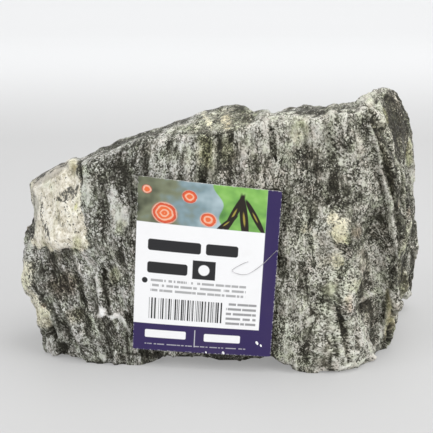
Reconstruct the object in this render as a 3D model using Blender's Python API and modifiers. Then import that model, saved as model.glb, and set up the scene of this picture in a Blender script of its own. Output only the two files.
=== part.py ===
"""A broken block of banded mica schist, 15 cm long, with a plain printed card stuck on its front.

The stone is drafted as a few convex fracture blocks, each the hull of its named corners. They are
joined into one body, remeshed, and carved: the layers weather into ribs, hollows are scooped where
soft mica has fallen out, lumps stand where quartz is hard, and the underside is worn to a flat rest.
The card is a thin bowed sheet that stands on a flattened seat just off the stone.

Run it with: blender --background --python part.py
"""

import math

import bmesh
import bpy
from mathutils import Matrix, Vector, noise

MM = 0.001

# --- The stone's driving dimensions, in millimetres. X runs to the right, Y away from the front, Z up.
VOXEL = 1.1  # the remesh that joins the fracture blocks
STONE_TRIANGLES = 9600  # after the flat parts are thinned out
EDGE_WEAR = 4  # smoothing passes that round the broken edges
REST_BAND = 0.7  # the underside up to this height is worn flat onto the surface it stands on
THINNING_ERROR = 0.1  # thinning lifts points of that flat by less than this

# Corners of each fracture block.
BODY = (
    # the foot of the front face, left to right, and round the right end
    (-56, -18, -1),
    (-36, -25, -1),
    (40, -34.5, -1),
    (48, -28, -1),
    (57, -17, -1),
    # the foot of the back
    (64, 30, -1),
    (62, 42, -1),
    (48, 46, -1),
    (0, 45, -1),
    (-40, 33, -1),
    (-60, 10, -1),
    # the front of the top, left to right
    (-46.5, -19, 70.5),
    (-37, -19, 75),
    (-26, -20, 78.5),
    (-5.5, -22, 82),
    (8, -24, 83),
    (50, -25, 89.5),
    # the crest and the back of the top
    (-44, 12, 69),
    (-31, 14, 73),
    (-15, 15, 78),
    (4, 17, 85.5),
    (12, 20, 84),
    (40, 30, 82),
    (-38, 28, 52),
    (-10, 38, 60),
    (30, 42, 66),
    (56, 44, 68),
    (64, 47, 52),
    (66, 47, 24),
)
LEFT_LUMP = (
    # the pale face and the sharp corner above it
    (-67, 4, 59.5),
    (-65, -3, 58.8),
    (-53.5, -13, 68),
    (-46, -17, 70.5),
    (-40, -25, 44),
    (-55.5, -21, 42),
    (-66, -7.5, 42),
    (-67.5, 4, 42),
    # it tapers off below into the bulge
    (-42, -22.5, 29),
    (-53, -19, 30),
    (-63, -6, 31),
    # its back and its root in the body
    (-57, 8, 65.5),
    (-50, 11, 66.5),
    (-58, 18, 56),
    (-61, 19, 33),
    (-65, 8, 33),
    (-30, 0, 72),
    (-30, -10, 42),
    (-30, 20, 50),
)
LEFT_FOOT = (
    # the bulge under the pale face
    (-68.5, 3, 39.5),
    (-70.6, 0, 33),
    (-70.3, -2, 23),
    (-67, -6, 16),
    (-60, -17, 37),
    (-47, -25, 36),
    (-34, -26.5, 22),
    # the foot
    (-65.5, -8, 5.5),
    (-63, -12, 1),
    (-56, -19.5, -1),
    (-46, -24, -1),
    (-35, -25.5, -1),
    (-66, 8, 8),
    (-62, 12, -1),
    (-64, 16, 36),
    (-30, -10, 40),
    (-30, 15, -1),
)
RIGHT_SHEETS = (
    # the upright edge between the front and the layered end
    (50.5, -24.5, 90),
    (54.5, -24.5, 82),
    (58.5, -23.5, 73),
    (62, -21.5, 63),
    (62.5, -20.5, 46),
    (65.5, -16.5, 35),
    (63, -16, 21),
    (60, -11, -1),
    # the peak and the back edge
    (55, 27, 86.4),
    (62, 29, 88.2),
    (66.5, 31, 88),
    (72.5, 39, 81),
    (75, 42, 71),
    (76.8, 42, 59),
    (77.4, 42, 40),
    (78.4, 41, 20),
    (78, 39, 7),
    (72, 25, 2),
    (66, 8, -1),
    # its blunt back corner and its root in the body
    (66, 44, 76),
    (69, 47.5, 56),
    (70, 47, 30),
    (66, 44, 5),
    (40, -20, 88),
    (44, 30, 82),
    (40, 0, -1),
)

# A wedge of air under the front edge, where the card hangs over the surface it stands on.
UNDERCUT = (
    (-38, -45, -3),
    (-38, -45, -1),
    (-31, -45, 5),
    (-14, -45, 11.5),
    (19, -45, 10.5),
    (30, -45, 6.5),
    (42, -45, -1),
    (42, -45, -3),
    (-19, -11, -3),
    (20, -13, -3),
)

# The layers stand nearly upright. Their strike is turned from straight back, and they lean where the rock is folded.
STRIKE = math.radians(20)
LEAN_MIDDLE = 0.02  # sideways run for each unit of height
LEAN_LEFT_FOOT = 0.3
LEAN_RIGHT = 0.16
FOLD_TOP = 58.0  # the fold at the left foot starts below this height
RIGHT_TOP = 90.0
LAYER = 4.2  # spacing of the ribs
LAYER_RUN = (30.0, 46.0)  # how far a rib keeps its height, along the strike and up
RIB_HEIGHT = 0.7
RIB_HEIGHT_FOLDED = 1.3
RIB_PATCH = 22.0  # spacing of the patches where the ribs stand out and where they are worn away
SHEET = 11.0  # spacing of the broken sheets where a face lies along the layers
SHEET_RISE = 50.0
SHEET_HEIGHT = 0.9
SWELL = 15.0  # spacing of the broad swells of the broken faces
SWELL_HEIGHT = 1.0
CHIP = 5.0  # spacing of the chipped roughness
CHIP_HEIGHT = 0.45
UNDERSIDE = 12.0  # spacing of the dips between the places where the underside rests
UNDERSIDE_DIP = 2.6

# Hollows and lumps: where the middle is, how far it reaches along X, Y and Z, and how deep or high it is.
HOLLOWS = {
    "brown scoop under the pale face": ((-50, -23, 31), (11, 12, 13), 2.8),
    "dip in the crest": ((19, 15, 86), (11, 25, 8), 3.9),
    "dip before the peak": ((46, 24, 88), (12, 12, 6), 1.8),
    "waist above the left bulge": ((-68, 2, 48), (6, 14, 8), 1.6),
    "notch over the foot": ((-66, -6, 13), (7, 10, 6), 1.8),
    "pit by the foot": ((-58, -17, 9), (2.4, 4, 5), 1.8),
    "pit under the foot": ((-52, -20, 4), (4.5, 4, 3.5), 1.6),
    "groove left of the card": ((-35, -24, 30), (3, 6, 12), 1.6),
    "dark slot in the upper front": ((20, -25, 76), (2.2, 6, 9), 1.1),
    "dark slot near the right top": ((40, -25, 77), (4, 6, 7), 1.0),
    "groove behind the right edge": ((65, -9, 60), (4, 7, 26), 2.2),
    "undercut of the right end": ((72, 20, 8), (8, 18, 12), 2.4),
    "hollow in the right end": ((70, 14, 40), (6, 9, 26), 2.0),
    "bite out of the back": ((10, 44, 30), (26, 10, 16), 3.4),
    "scar on the left back": ((-45, 32, 26), (18, 12, 18), 2.8),
    "scar on the right back": ((50, 46, 70), (14, 12, 12), 2.6),
    "arch under the middle": ((-4, 10, 0), (30, 22, 5), 3.4),
    "arch under the right": ((44, 10, 0), (13, 19, 5), 2.6),
    "arch under the left": ((-46, -2, 0), (9, 12, 4), 2.4),
}
LUMPS = {
    "quartz knob right of the card": ((46, -31, 47), (6, 8, 8), 1.7),
    "pale boss near the right foot": ((44, -32, 22), (9, 8, 7), 1.3),
    "rib left of the card": ((-30, -26, 34), (3, 6, 16), 1.0),
    "knuckle on the left foot": ((-36, -27, 14), (4, 6, 7), 1.4),
    "brow above the scoop": ((-52, -21, 43), (12, 8, 3.5), 0.6),
    "fin of the peak": ((60, 22, 87), (5, 14, 4), 0.6),
    "ledge on the right end": ((78, 40, 59), (3, 10, 4), 0.8),
    "boss on the back": ((26, 46, 48), (14, 8, 12), 2.0),
}

# --- The card's driving dimensions, in millimetres.
CARD_THICKNESS = 0.4
# X and Z of its corners: about 48.5 wide and 60 high, stuck on a little clockwise, and out of square where it bends.
CARD_TOP_LEFT = (-26.6, 67.3)
CARD_TOP_RIGHT = (22.0, 63.3)
CARD_BOTTOM_LEFT = (-29.2, 6.5)
CARD_BOTTOM_RIGHT = (18.5, 5.9)
CARD_BOW = 0.8  # its middle stands this far in front of its upright edges
CARD_STEPS = 12
CARD_GAP = 0.35  # between the card's back and the stone
SEAT_MARGIN = 2.5  # the seat's flattening fades out this far past the card

# The plane of the front face behind the card: Y where X and Z are 0, and its change with X and with Z.
FRONT_Y = -30.3
FRONT_Y_PER_X = -0.125
FRONT_Y_PER_Z = 0.072

STONE_COLOUR = (0.33, 0.33, 0.31, 1)
CARD_COLOUR = (0.86, 0.86, 0.88, 1)


def clear_scene():
    for obj in list(bpy.data.objects):
        bpy.data.objects.remove(obj)


def new_material(name, colour, roughness):
    material = bpy.data.materials.new(name)
    material.use_nodes = True
    shader = material.node_tree.nodes["Principled BSDF"]
    shader.inputs["Base Color"].default_value = colour
    shader.inputs["Roughness"].default_value = roughness
    shader.inputs["Metallic"].default_value = 0.0
    return material


def new_collection(name):
    collection = bpy.data.collections.new(name)
    bpy.context.scene.collection.children.link(collection)
    return collection


def new_object(name, bm, collection):
    mesh = bpy.data.meshes.new(name)
    bm.to_mesh(mesh)
    bm.free()
    obj = bpy.data.objects.new(name, mesh)
    collection.objects.link(obj)
    return obj


def smoothstep(value):
    t = min(1.0, max(0.0, value))
    return t * t * (3 - 2 * t)


def fracture_block(name, corners, collection):
    """A convex block with these corners, in millimetres."""
    bm = bmesh.new()
    for corner in corners:
        bm.verts.new(Vector(corner) * MM)
    hull = bmesh.ops.convex_hull(bm, input=bm.verts)
    inside = [v for v in set(hull["geom_interior"] + hull["geom_unused"]) if isinstance(v, bmesh.types.BMVert)]
    bmesh.ops.delete(bm, geom=inside, context="VERTS")
    bmesh.ops.recalc_face_normals(bm, faces=bm.faces)
    return new_object(name, bm, collection)


def joined_blocks(collection, cutters):
    """The stone's rough form: the body with the other blocks joined or cut away, remeshed as one skin."""
    stone = fracture_block("stone", BODY, collection)
    for name, corners, operation in (
        ("left_lump", LEFT_LUMP, "UNION"),
        ("left_foot", LEFT_FOOT, "UNION"),
        ("right_sheets", RIGHT_SHEETS, "UNION"),
        ("undercut", UNDERCUT, "DIFFERENCE"),
    ):
        block = fracture_block(name, corners, cutters)
        block.hide_render = True
        block.display_type = "WIRE"
        step = stone.modifiers.new(name, "BOOLEAN")
        step.operation = operation
        step.solver = "EXACT"
        step.object = block
    remesh = stone.modifiers.new("one skin", "REMESH")
    remesh.mode = "VOXEL"
    remesh.voxel_size = VOXEL * MM
    wear = stone.modifiers.new("worn edges", "SMOOTH")
    wear.factor = 0.5
    wear.iterations = EDGE_WEAR
    bake_modifiers(stone)
    return stone


def bake_modifiers(obj):
    """Replaces the object's mesh with the one that its modifiers make."""
    graph = bpy.context.evaluated_depsgraph_get()
    mesh = bpy.data.meshes.new_from_object(obj.evaluated_get(graph))
    obj.modifiers.clear()
    obj.data = mesh


def lean_shift(x, z):
    """How far the layers' lean moves them sideways: most in the fold at the left foot, a little at the right end."""
    left = LEAN_LEFT_FOOT * smoothstep((-12 - x) / 30) * smoothstep((FOLD_TOP - z) / 30)
    right = LEAN_RIGHT * smoothstep((x - 30) / 28)
    return LEAN_MIDDLE * z + left * (z - FOLD_TOP) + right * (z - RIGHT_TOP)


def layer_place(p):
    """A point in the layers' own directions: across them, along the strike, and up, in millimetres."""
    across = p.x * math.cos(STRIKE) - p.y * math.sin(STRIKE) + lean_shift(p.x, p.z)
    along = p.x * math.sin(STRIKE) + p.y * math.cos(STRIKE)
    return across, along, p.z


def rib_relief(p):
    """Harder layers stand out as ribs with steep sides, and fade in and out along their run."""
    across, along, up = layer_place(p)
    run, rise = LAYER_RUN
    bend = 1.5 * noise.noise(Vector((along / 18, up / 14, 3.7)))
    height = noise.noise(Vector(((across + bend) / LAYER, along / run, up / rise)))
    folded = max(smoothstep((-16 - p.x) / 20) * smoothstep((46 - p.z) / 18), smoothstep((p.x - 48) / 12))
    massive = smoothstep((-40 - p.x) / 8) * smoothstep((p.z - 42) / 6)
    patchy = smoothstep(0.55 + 1.6 * noise.noise(p / RIB_PATCH + Vector((4.4, 8.8, 1.1))))
    rib_height = (RIB_HEIGHT + (RIB_HEIGHT_FOLDED - RIB_HEIGHT) * folded) * (1 - massive) * patchy
    return rib_height * math.tanh(3.2 * height)


def sheet_relief(p, normal):
    """Where a face lies along the layers, broken sheets leave steps that run upward."""
    across, along, up = layer_place(p)
    facing = abs(normal.x * math.cos(STRIKE) - normal.y * math.sin(STRIKE))
    wander = 2.0 * noise.noise(Vector((across / 20, up / 16, 9.1)))
    step = noise.noise(Vector((2.7, (along + 0.22 * up + wander) / SHEET, up / SHEET_RISE)))
    return SHEET_HEIGHT * smoothstep((facing - 0.6) / 0.3) * math.tanh(6 * step)


def rough_relief(p):
    """Broad swells of the fracture faces, and chips on top of them."""
    swell = noise.noise(p / SWELL + Vector((7.1, 2.3, 5.9)))
    across, along, up = layer_place(p)
    chip_place = Vector((across / CHIP, along / (1.6 * CHIP), up / (1.9 * CHIP)))
    chip = noise.fractal(chip_place, 0.9, 2.0, 3)
    return SWELL_HEIGHT * swell + CHIP_HEIGHT * chip


def underside_dip(p, normal):
    """The underside only rests in places: between them it rises a little."""
    facing_down = smoothstep((-normal.z - 0.7) / 0.25)
    return UNDERSIDE_DIP * facing_down * smoothstep(0.35 + 1.6 * noise.noise(p / UNDERSIDE + Vector((2.2, 6.1, 0.4))))


def feature_relief(p, features):
    """The summed height of the named hollows or lumps at a point, each with a soft irregular rim."""
    total = 0.0
    for centre, reach, height in features.values():
        away = Vector([(p[i] - centre[i]) / reach[i] for i in range(3)]).length
        if away < 1.6:
            rim = away + 0.22 * noise.noise(p / 5)
            total += height * smoothstep(1.25 - rim)
    return total


def card_place(u, v):
    """The card's front at u across and v up, each from -0.5 to 0.5, in millimetres."""
    low = Vector(CARD_BOTTOM_LEFT).lerp(Vector(CARD_BOTTOM_RIGHT), u + 0.5)
    high = Vector(CARD_TOP_LEFT).lerp(Vector(CARD_TOP_RIGHT), u + 0.5)
    x, z = low.lerp(high, v + 0.5)
    return Vector((x, front_y(x, z) - CARD_BOW * (1 - (2 * u) ** 2), z))


def card_uv(x, z):
    """The reverse of card_place: u and v of the point of the card in front of X and Z."""
    u = v = 0.0
    for _ in range(4):
        low = Vector(CARD_BOTTOM_LEFT).lerp(Vector(CARD_BOTTOM_RIGHT), u + 0.5)
        high = Vector(CARD_TOP_LEFT).lerp(Vector(CARD_TOP_RIGHT), u + 0.5)
        v = (z - low.y) / (high.y - low.y) - 0.5
        left = Vector(CARD_BOTTOM_LEFT).lerp(Vector(CARD_TOP_LEFT), v + 0.5)
        right = Vector(CARD_BOTTOM_RIGHT).lerp(Vector(CARD_TOP_RIGHT), v + 0.5)
        u = (x - left.x) / (right.x - left.x) - 0.5
    return u, v


def front_y(x, z):
    """The plane of the front face behind the card."""
    return FRONT_Y + FRONT_Y_PER_X * x + FRONT_Y_PER_Z * z


def seat_share(x, z):
    """1 behind the card, falling to 0 past the seat's margin."""
    u, v = card_uv(x, z)
    width = CARD_TOP_RIGHT[0] - CARD_TOP_LEFT[0]
    height = CARD_TOP_LEFT[1] - CARD_BOTTOM_LEFT[1]
    outside = max((abs(u) - 0.5) * width, (abs(v) - 0.5) * height)
    return smoothstep(1 - (outside - 0.6) / SEAT_MARGIN)


def carve(stone):
    """Moves each point of the rough form by the relief, then presses the card's seat and the rest."""
    mesh = stone.data
    normals = [v.normal.copy() for v in mesh.vertices]
    for vertex, normal in zip(mesh.vertices, normals):
        p = vertex.co / MM
        relief = rib_relief(p) + sheet_relief(p, normal) + rough_relief(p)
        relief += feature_relief(p, LUMPS) - feature_relief(p, HOLLOWS) - underside_dip(p, normal)
        p = p + normal * relief
        share = seat_share(p.x, p.z) if p.y < 0 else 0.0
        if share > 0:
            u, v = card_uv(p.x, p.z)
            seat_y = card_place(u, v).y + CARD_THICKNESS + CARD_GAP
            p.y += share * max(0.0, seat_y + 0.15 - p.y) + share * 0.6 * min(0.0, seat_y + 0.6 - p.y)
        vertex.co = p * MM
    mesh.update()


def thin_out(stone):
    """Fewer, larger triangles where the surface is nearly flat."""
    stone.data.calc_loop_triangles()
    decimate = stone.modifiers.new("thinned", "DECIMATE")
    decimate.use_collapse_triangulate = True
    decimate.ratio = STONE_TRIANGLES / len(stone.data.loop_triangles)
    bake_modifiers(stone)


def wear_rest_flat(stone, band):
    """The underside up to this height becomes the flat that the stone stands on."""
    for vertex in stone.data.vertices:
        if vertex.co.z < band * MM:
            vertex.co.z = 0.0


def drop_slivers(stone):
    bm = bmesh.new()
    bm.from_mesh(stone.data)
    bmesh.ops.dissolve_degenerate(bm, dist=0.02 * MM, edges=bm.edges)
    bmesh.ops.triangulate(bm, faces=bm.faces)
    bm.to_mesh(stone.data)
    bm.free()


def make_stone(collection, cutters):
    stone = joined_blocks(collection, cutters)
    carve(stone)
    wear_rest_flat(stone, REST_BAND)
    thin_out(stone)
    wear_rest_flat(stone, THINNING_ERROR)
    drop_slivers(stone)
    stone.data.materials.append(new_material("stone", STONE_COLOUR, 0.75))
    return stone


def make_card(collection):
    """A grid bent to the card's front, thickened backwards."""
    bm = bmesh.new()
    bmesh.ops.create_grid(bm, x_segments=CARD_STEPS, y_segments=CARD_STEPS, size=0.5)
    for vertex in bm.verts:
        vertex.co = card_place(vertex.co.x, vertex.co.y) * MM
    bmesh.ops.recalc_face_normals(bm, faces=bm.faces)
    if sum(face.normal.y for face in bm.faces) > 0:
        bmesh.ops.reverse_faces(bm, faces=bm.faces)
    card = new_object("label_card", bm, collection)
    thick = card.modifiers.new("card thickness", "SOLIDIFY")
    thick.thickness = CARD_THICKNESS * MM
    thick.offset = -1
    card.data.materials.append(new_material("card", CARD_COLOUR, 0.3))
    return card


def stand_on_origin(objects):
    """Moves everything so that the middle of the underside of the whole is the origin."""
    bpy.context.view_layer.update()
    graph = bpy.context.evaluated_depsgraph_get()
    corners = [Vector(c) for obj in objects for c in evaluated_points(obj, graph)]
    low = Vector([min(c[i] for c in corners) for i in range(3)])
    high = Vector([max(c[i] for c in corners) for i in range(3)])
    shift = Matrix.Translation((-(low.x + high.x) / 2, -(low.y + high.y) / 2, -low.z))
    for obj in objects:
        obj.data.transform(shift)


def evaluated_points(obj, graph):
    evaluated = obj.evaluated_get(graph)
    mesh = evaluated.to_mesh()
    points = [obj.matrix_world @ v.co for v in mesh.vertices]
    evaluated.to_mesh_clear()
    return points


def main():
    clear_scene()
    collection = new_collection("mica_schist_rock")
    cutters = new_collection("fracture_blocks")
    stone = make_stone(collection, cutters)
    card = make_card(collection)
    for obj in list(cutters.objects):
        bpy.data.objects.remove(obj)
    stand_on_origin([stone, card])
    stone.data.shade_flat()


main()
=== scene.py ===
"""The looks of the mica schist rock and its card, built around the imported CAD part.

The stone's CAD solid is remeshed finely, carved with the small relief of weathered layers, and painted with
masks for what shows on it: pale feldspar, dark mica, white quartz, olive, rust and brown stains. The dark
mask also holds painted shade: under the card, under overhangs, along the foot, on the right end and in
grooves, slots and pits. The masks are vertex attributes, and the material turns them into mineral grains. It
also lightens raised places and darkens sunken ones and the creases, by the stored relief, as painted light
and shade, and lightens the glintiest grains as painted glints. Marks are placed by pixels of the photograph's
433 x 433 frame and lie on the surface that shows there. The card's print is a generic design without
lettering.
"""

import math

import bmesh
import bpy
import numpy as np
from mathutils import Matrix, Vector, noise


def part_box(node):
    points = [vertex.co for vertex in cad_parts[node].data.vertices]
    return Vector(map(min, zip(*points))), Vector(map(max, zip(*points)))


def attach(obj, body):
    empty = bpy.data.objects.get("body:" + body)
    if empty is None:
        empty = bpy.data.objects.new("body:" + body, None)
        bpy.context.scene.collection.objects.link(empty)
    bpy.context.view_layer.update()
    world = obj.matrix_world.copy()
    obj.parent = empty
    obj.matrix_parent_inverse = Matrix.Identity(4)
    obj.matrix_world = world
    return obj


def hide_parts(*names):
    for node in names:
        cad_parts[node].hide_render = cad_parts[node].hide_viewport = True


MM = 0.001

# --- The photograph's camera, in millimetres and in pixels of its frame.
FRAME_PX = 433
MIDDLE_PX = FRAME_PX / 2
FOCAL_PX = 1250
CAMERA_DISTANCE = 450
CAMERA_ELEVATION = math.radians(15)
AIM_HEIGHT = 47
SENSOR = 36
VIEW_AHEAD = np.array([0, math.cos(CAMERA_ELEVATION), -math.sin(CAMERA_ELEVATION)])
VIEW_UP = np.array([0, math.sin(CAMERA_ELEVATION), math.cos(CAMERA_ELEVATION)])

# The camera aims at x 0, y 0 of the CAD source's drafting frame, where the card has this lowest corner.
CARD_LOW_CORNER = (-29.2, -32.19, 5.9)

# --- The stone's surface.
VOXEL = 1.22  # the mesh squares, halved where the photograph shows the stone
WEAR_PASSES = 2
STRIKE = math.radians(20)  # the layers' direction, turned from straight back
ACROSS = np.array([math.cos(STRIKE), -math.sin(STRIKE), 0])  # straight through the layers
LEAN_MIDDLE = 0.02
LEAN_LEFT_FOOT = 0.3
LEAN_RIGHT = 0.16
FOLD_TOP = 58.0
RIGHT_TOP = 90.0

# --- The card, as the CAD source drafts it: X and Z of its corners.
CARD_TOP_LEFT = (-26.6, 67.3)
CARD_TOP_RIGHT = (22.0, 63.3)
CARD_BOTTOM_LEFT = (-29.2, 6.5)
CARD_BOTTOM_RIGHT = (18.5, 5.9)
CARD_BOW = 0.8
CARD_THICKNESS = 0.4
CARD_WIDTH = 48.6
CARD_HEIGHT = 60.8
CARD_STEP = 0.9  # the size of the card's mesh squares
CARD_CORNER = 0.5  # how far the worn corners are rounded
CARD_CURL = 0.5  # how far the lower right corner stands off
CARD_GAP = 0.12  # the least distance from the card's back to the stone
FRONT_Y = -30.3
FRONT_Y_PER_X = -0.125
FRONT_Y_PER_Z = 0.072

# The strand of glue on the card: its points in millimetres from the card's lower left corner.
STRAND = ((48.2, 39.4), (43.5, 33.8), (39.1, 30.2), (36.0, 29.8), (33.5, 31.0), (36.7, 33.5), (38.8, 34.6))
STRAND_RADIUS = 0.08
STRAND_GAP = 0.02  # between the strand and the card
STRAND_STEPS = 8
STRAND_SIDES = 6

# --- The card's print, in millimetres from its lower left corner: left, bottom, right, top.
PICTURE = (-1.0, 45.3, 43.9, 62.0)
PAPER_WHITE = (-1.0, 9.6, 43.9, 62.0)
TITLE_BARS = ((4.2, 35.6, 22.5, 39.6), (24.2, 35.6, 35.2, 39.6), (4.2, 27.6, 18.2, 31.6))
TAG = (19.9, 26.7, 27.8, 33.4)
TAG_DOT = (23.85, 30.05, 1.9)
NOTE_DOT = (3.5, 24.9, 1.0)
STRIPES = (5.2, 11.4, 30.8, 18.9)
FOOT_BARS = ((4.2, 4.6, 18.6, 7.4), (25.0, 4.3, 37.6, 7.1))
FOOT_DIVIDER = (21.6, 2.0, 21.9, 8.2)
SCUFFS = ((43.6, 4.9, 0.7), (45.0, 4.0, 0.5), (32.1, 0.5, 0.6), (26.0, 0.4, 0.4))
# Pebbles in the picture: x, y, radius.
PEBBLES = ((9.5, 49.0, 4.4), (17.8, 55.6, 2.6), (24.5, 48.2, 2.9), (3.2, 56.6, 1.7))
# Leaf blades in the picture: x, y, half width, half length, lean in degrees.
BLADES = (
    (33.0, 51.0, 1.2, 8.0, 24),
    (36.5, 49.5, 1.4, 9.0, -8),
    (40.2, 50.5, 1.0, 7.0, -30),
    (30.6, 47.4, 0.9, 5.0, 48),
)
PURPLE = (0.027, 0.015, 0.092)
FADED_PURPLE = (0.036, 0.022, 0.092)
INK = (0.018, 0.018, 0.020)
PAPER = (0.88, 0.88, 0.885)
GRIME = (0.72, 0.70, 0.64)
PEBBLE = (0.80, 0.16, 0.05)
PEBBLE_RIM = (0.60, 0.07, 0.04)
PEBBLE_RING = (0.88, 0.66, 0.50)
BLADE = (0.018, 0.012, 0.008)
BLADE_VEIN = (0.35, 0.28, 0.05)
# Small print, as rows of dashes: its place, rows, length of a dash, share of gaps, strength, colour.
SMALL_PRINT = (
    ((5.6, 20.7, 38.6, 26.0), 3, 1.3, 0.42, 0.55, INK),
    ((32.2, 10.6, 42.6, 19.4), 5, 1.6, 0.40, 0.65, INK),
    ((4.2, 1.9, 40.0, 2.7), 1, 1.1, 0.45, 0.4, PAPER),
)
WATER = (
    (0.1, (0.045, 0.05, 0.03)),
    (0.4, (0.20, 0.22, 0.14)),
    (0.6, (0.22, 0.31, 0.34)),
    (0.9, (0.45, 0.56, 0.60)),
)
LEAF = (
    (0.1, (0.035, 0.10, 0.03)),
    (0.35, (0.12, 0.30, 0.07)),
    (0.6, (0.24, 0.50, 0.11)),
    (0.9, (0.42, 0.66, 0.24)),
)
PRINT_SOFT = 0.12  # how soft the print's edges are, in millimetres

# --- The stone's colours. A ramp's stops are a place and a colour.
SCHIST = (
    (0.0, (0.018, 0.016, 0.010)),
    (0.20, (0.037, 0.035, 0.025)),
    (0.45, (0.126, 0.124, 0.101)),
    (0.70, (0.338, 0.335, 0.300)),
    (1.0, (0.650, 0.648, 0.620)),
)
FELDSPAR = (
    (0.10, (0.22, 0.20, 0.14)),
    (0.30, (0.51, 0.465, 0.355)),
    (0.48, (0.74, 0.69, 0.57)),
    (0.72, (0.935, 0.90, 0.80)),
)
HUES = ((0.15, (1.0, 0.95, 0.93)), (0.5, (1.0, 1.0, 1.0)), (0.8, (0.95, 0.98, 0.89)))
QUARTZ = (0.86, 0.86, 0.84)
BLACK_SPECK = (0.035, 0.033, 0.022)
STRAY_SPECK = (0.07, 0.065, 0.045)
GREY_FELDSPAR = (0.28, 0.28, 0.26)
WARM_TINT = (1.0, 0.985, 0.925)
GREEN_TINT = (0.95, 0.98, 0.92)
OLIVE_STAIN = (0.90, 0.92, 0.62)
RUST_STAIN = (1.0, 0.84, 0.72)
BROWN_STAIN = (0.84, 0.73, 0.63)

# --- The stage and its lights, in metres and watts.
SWEEP_SIDE = 2.2
SWEEP_FRONT = -2.2
SWEEP_BEND = 0.9  # where the floor starts to curve up
SWEEP_RADIUS = 0.5
SWEEP_TOP = 2.0
SWEEP_STEPS = 12
WORLD_LIGHT = 0.78
# Area lights: place, what they point at, width and height, power, colour.
LIGHTS = {
    "soft_top": ((0.3, 0.06, 0.93), (0, 0, 0.03), (0.9, 0.7), 6.4, (1, 1, 1)),
    "soft_right": ((0.95, -0.6, 0.6), (0, 0, 0.04), (0.8, 0.6), 5.4, (1, 1, 1)),
    "soft_left": ((-0.85, -0.55, 0.7), (0, 0, 0.04), (0.7, 0.6), 4.8, (1, 1, 1)),
    "backdrop": ((0.0, 0.62, 0.5), (0, 1.4, 0.1), (2.4, 0.25), 14.0, (0.94, 0.965, 1.0)),
}

# --- Marks on the stone, by the photograph's pixels, each with the masks that it paints and how strongly. Two
# of the masks have no colour of their own: "ridge" raises the surface and "pit" sinks it, and through the
# stored relief the material lightens raised places and darkens sunken ones, which is painted light and shade.
# The
# "dark" mask is dark mica, and at some marks painted shade too.
MASKS = ("pale", "dark", "light", "white", "olive", "rust", "brown", "speck", "ridge", "pit")
MARK_DEPTH = 26.0  # a mark reaches this many millimetres behind and before the surface where it lies
MARK_EDGE = 2.6  # how far the edge of an area or a spot wanders, in pixels
STROKE_EDGE = 0.8  # how far a stroke wanders, in pixels
STROKE_TIP = 0.4  # how wide a stroke's ends are, as a share of its middle
AREAS = {}
SPOTS = {}
STROKES = {}


def area(name, soft, *outline, **paints):
    """A mark with this outline and an edge this many pixels soft."""
    AREAS[name] = (outline, soft, paints)


def spot(name, x, y, wide, high, lean=0, **paints):
    """An elliptical mark: middle, half sizes, and degrees from upright, positive down to the right."""
    SPOTS[name] = (x, y, wide, high, lean, paints)


def stroke(name, wide, *path, **paints):
    """A mark this wide to each side of a path."""
    STROKES[name] = (path, wide, paints)


area(
    "pale face", 4, (30, 184), (44, 174), (58, 164), (78, 160), (81, 186), (80, 200), (86, 222),
    (87, 250), (66, 249), (50, 251), (30, 243), (32, 214), pale=1,
)
area(
    "grey slope", 2, (30, 183), (44, 172), (58, 162), (72, 158), (68, 168), (53, 178), (38, 188),
    dark=1, rust=0.25,
)
area(
    "shaded end", 2.5, (384, 96), (389, 90), (394, 88), (402, 98), (407, 114), (408, 136), (404, 160),
    (398, 151), (391, 133), (386, 115), dark=0.72, brown=0.35,
)
# The darker end face: dark mica and painted shade on the side turned from the light.
area(
    "right end shade and mica", 5, (374, 112), (400, 96), (416, 130), (416, 212), (398, 212), (391, 190), (384, 150),
    dark=0.66,
)
area(
    "top plate", 3, (168, 131), (190, 123), (204, 113), (224, 107), (246, 107), (259, 113), (252, 124),
    (236, 131), (204, 132), light=0.12, olive=0.35,
)
area("light middle", 8, (256, 120), (300, 114), (336, 122), (334, 150), (300, 148), (258, 162), light=0.62)
area("brown field", 8, (202, 140), (262, 146), (282, 186), (240, 186), (200, 176), light=0.1, brown=0.25)

spot("olive tint", 76, 168, 6, 6, 20, olive=0.6, dark=0.9, brown=0.25)
spot("orange tint", 75, 169, 2, 4, rust=0.45, brown=0.4)
spot("green spot", 75, 206, 2, 4, olive=1)
spot("grey corner", 76, 246, 10, 5, 80, olive=0.45, dark=0.2)
spot("grey rim", 33, 190, 3, 9, -8, dark=0.3)
spot("light under rim", 39, 256, 8, 4, 80, light=0.55)
spot("dark under rim", 54, 262, 9, 7, 60, dark=0.55, brown=0.3)
spot("cream bulge", 29, 276, 8, 16, 6, pale=0.66, olive=0.3, dark=0.15)
spot("rim swell", 27, 256, 5, 10, ridge=1.4)
spot("foot swell", 38, 312, 7, 14, 20, ridge=1.6)
spot("low foot swell", 52, 349, 11, 8, 50, ridge=1.4)
spot("bulge swell", 31, 280, 9, 15, 6, ridge=2.6)
spot("bulge fold", 25, 254, 3, 8, dark=0.8)
spot("cream foot", 45, 317, 7, 15, 25, pale=0.68, olive=0.3, dark=0.2)
spot("rust spot", 44, 304, 2, 2, rust=1)
spot("brown scoop", 64, 285, 14, 12, 20, brown=0.8, dark=0.5)
spot("low light spot", 80, 337, 3, 3, light=0.9)
spot("dark foot", 82, 356, 30, 4, 86, dark=0.45)
spot("light by pit", 60, 335, 4, 4, light=0.8)
spot("olive patch", 76, 316, 8, 7, olive=0.4, brown=0.4, dark=0.3)
spot("dark below rim", 58, 262, 16, 8, 70, dark=0.5)
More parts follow.
